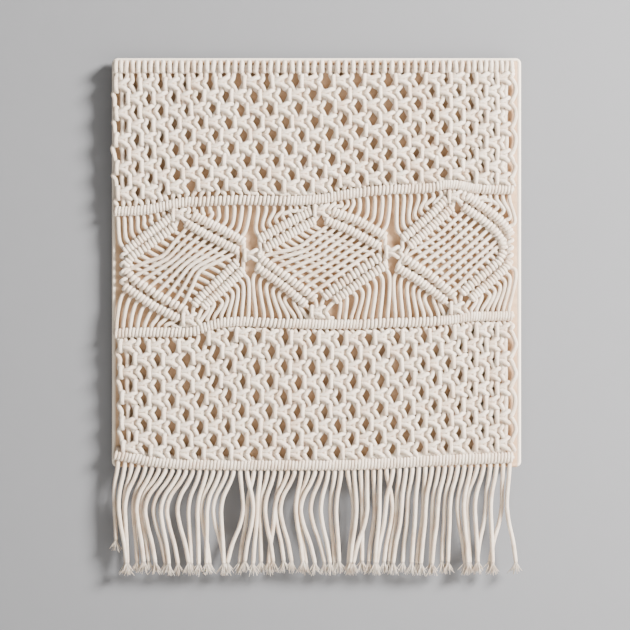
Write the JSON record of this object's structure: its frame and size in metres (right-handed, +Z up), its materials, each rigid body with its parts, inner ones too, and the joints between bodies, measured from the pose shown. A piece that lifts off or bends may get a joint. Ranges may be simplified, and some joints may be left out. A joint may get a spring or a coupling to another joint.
{
  "type": "macrame wall hanging",
  "caption": "Square panel of knotted cotton cord on a lined cloth backing, with a diamond band across the middle, a cut fringe below and a hidden batten in a sleeve behind.",
  "frame": {"origin": "on the line of the two hanger slots, midway between them, in the plane of the hanger plates' rear faces", "axes": "+Z up, +X to the viewer's right, the knotted face looks along -Y and the wall is at +Y"},
  "size_m": [0.45, 0.0206, 0.566],
  "materials": {
    "cotton_cord": "matt twisted cotton cord, natural off-white",
    "cloth": "plain-woven cotton cloth, tan",
    "lining": "plain-woven unbleached cotton",
    "pine": "planed pine",
    "steel": "zinc-plated steel",
    "brass": "brass screw"
  },
  "bodies": {
    "batten_and_hangers": {"batten": "pine", "left_hanger_plate": "steel", "left_hanger_screw_a": "brass", "left_hanger_screw_b": "brass", "right_hanger_plate": "steel", "right_hanger_screw_a": "brass", "right_hanger_screw_b": "brass"},
    "panel": {"back_lining": "lining", "bottom_hitch_bar": "cotton_cord", "bottom_hitch_bar_core_cord": "cotton_cord", "diamond_1_front_cords": "cotton_cord", "diamond_1_inner_hitches": "cotton_cord", "diamond_1_outer_hitches": "cotton_cord", "diamond_1_rear_cords": "cotton_cord", "diamond_2_front_cords": "cotton_cord", "diamond_2_inner_hitches": "cotton_cord", "diamond_2_outer_hitches": "cotton_cord", "diamond_2_rear_cords": "cotton_cord", "diamond_3_front_cords": "cotton_cord", "diamond_3_inner_hitches": "cotton_cord", "diamond_3_outer_hitches": "cotton_cord", "diamond_3_rear_cords": "cotton_cord", "front_cloth": "cloth", "hanging_sleeve": "lining", "header_knots": "cotton_cord", "holding_cord": "cotton_cord", "lower_float_cords": "cotton_cord", "lower_hitch_bar": "cotton_cord", "lower_hitch_bar_core_cord": "cotton_cord", "lower_net_row_1": "cotton_cord", "lower_net_row_2": "cotton_cord", "lower_net_row_3": "cotton_cord", "lower_net_row_4": "cotton_cord", "lower_net_row_5": "cotton_cord", "lower_net_row_6": "cotton_cord", "lower_net_row_7": "cotton_cord", "lower_net_row_8": "cotton_cord", "lower_net_row_9": "cotton_cord", "upper_float_cords": "cotton_cord", "upper_hitch_bar": "cotton_cord", "upper_hitch_bar_core_cord": "cotton_cord", "upper_net_row_1": "cotton_cord", "upper_net_row_2": "cotton_cord", "upper_net_row_3": "cotton_cord", "upper_net_row_4": "cotton_cord", "upper_net_row_5": "cotton_cord", "upper_net_row_6": "cotton_cord", "upper_net_row_7": "cotton_cord", "upper_net_row_8": "cotton_cord", "upper_net_row_9": "cotton_cord"},
    "fringe_01": {"fringe_group_01": "cotton_cord"},
    "fringe_02": {"fringe_group_02": "cotton_cord"},
    "fringe_03": {"fringe_group_03": "cotton_cord"},
    "fringe_04": {"fringe_group_04": "cotton_cord"},
    "fringe_05": {"fringe_group_05": "cotton_cord"},
    "fringe_06": {"fringe_group_06": "cotton_cord"},
    "fringe_07": {"fringe_group_07": "cotton_cord"},
    "fringe_08": {"fringe_group_08": "cotton_cord"},
    "fringe_09": {"fringe_group_09": "cotton_cord"},
    "fringe_10": {"fringe_group_10": "cotton_cord"}
  },
  "joints": [
    {"name": "panel_slide", "type": "slide", "parent": "batten_and_hangers", "child": "panel", "axis": [1, 0, 0], "range_m": [-0.395, 0.395]},
    {"name": "fringe_01_swing", "type": "hinge", "parent": "panel", "child": "fringe_01", "pos_m": [-0.19965, -0.015, -0.4203], "axis": [-1, 0, 0], "range_deg": [0, 90]},
    {"name": "fringe_02_swing", "type": "hinge", "parent": "panel", "child": "fringe_02", "pos_m": [-0.15595, -0.015, -0.4226], "axis": [-1, 0, 0], "range_deg": [0, 90]},
    {"name": "fringe_03_swing", "type": "hinge", "parent": "panel", "child": "fringe_03", "pos_m": [-0.11225, -0.015, -0.4237], "axis": [-1, 0, 0], "range_deg": [0, 90]},
    {"name": "fringe_04_swing", "type": "hinge", "parent": "panel", "child": "fringe_04", "pos_m": [-0.06855, -0.015, -0.424], "axis": [-1, 0, 0], "range_deg": [0, 90]},
    {"name": "fringe_05_swing", "type": "hinge", "parent": "panel", "child": "fringe_05", "pos_m": [-0.02485, -0.015, -0.424], "axis": [-1, 0, 0], "range_deg": [0, 90]},
    {"name": "fringe_06_swing", "type": "hinge", "parent": "panel", "child": "fringe_06", "pos_m": [0.01885, -0.015, -0.424], "axis": [-1, 0, 0], "range_deg": [0, 90]},
    {"name": "fringe_07_swing", "type": "hinge", "parent": "panel", "child": "fringe_07", "pos_m": [0.06255, -0.015, -0.4236], "axis": [-1, 0, 0], "range_deg": [0, 90]},
    {"name": "fringe_08_swing", "type": "hinge", "parent": "panel", "child": "fringe_08", "pos_m": [0.10625, -0.015, -0.4221], "axis": [-1, 0, 0], "range_deg": [0, 90]},
    {"name": "fringe_09_swing", "type": "hinge", "parent": "panel", "child": "fringe_09", "pos_m": [0.14995, -0.015, -0.4196], "axis": [-1, 0, 0], "range_deg": [0, 90]},
    {"name": "fringe_10_swing", "type": "hinge", "parent": "panel", "child": "fringe_10", "pos_m": [0.19365, -0.015, -0.4178], "axis": [-1, 0, 0], "range_deg": [0, 90]}
  ]
}
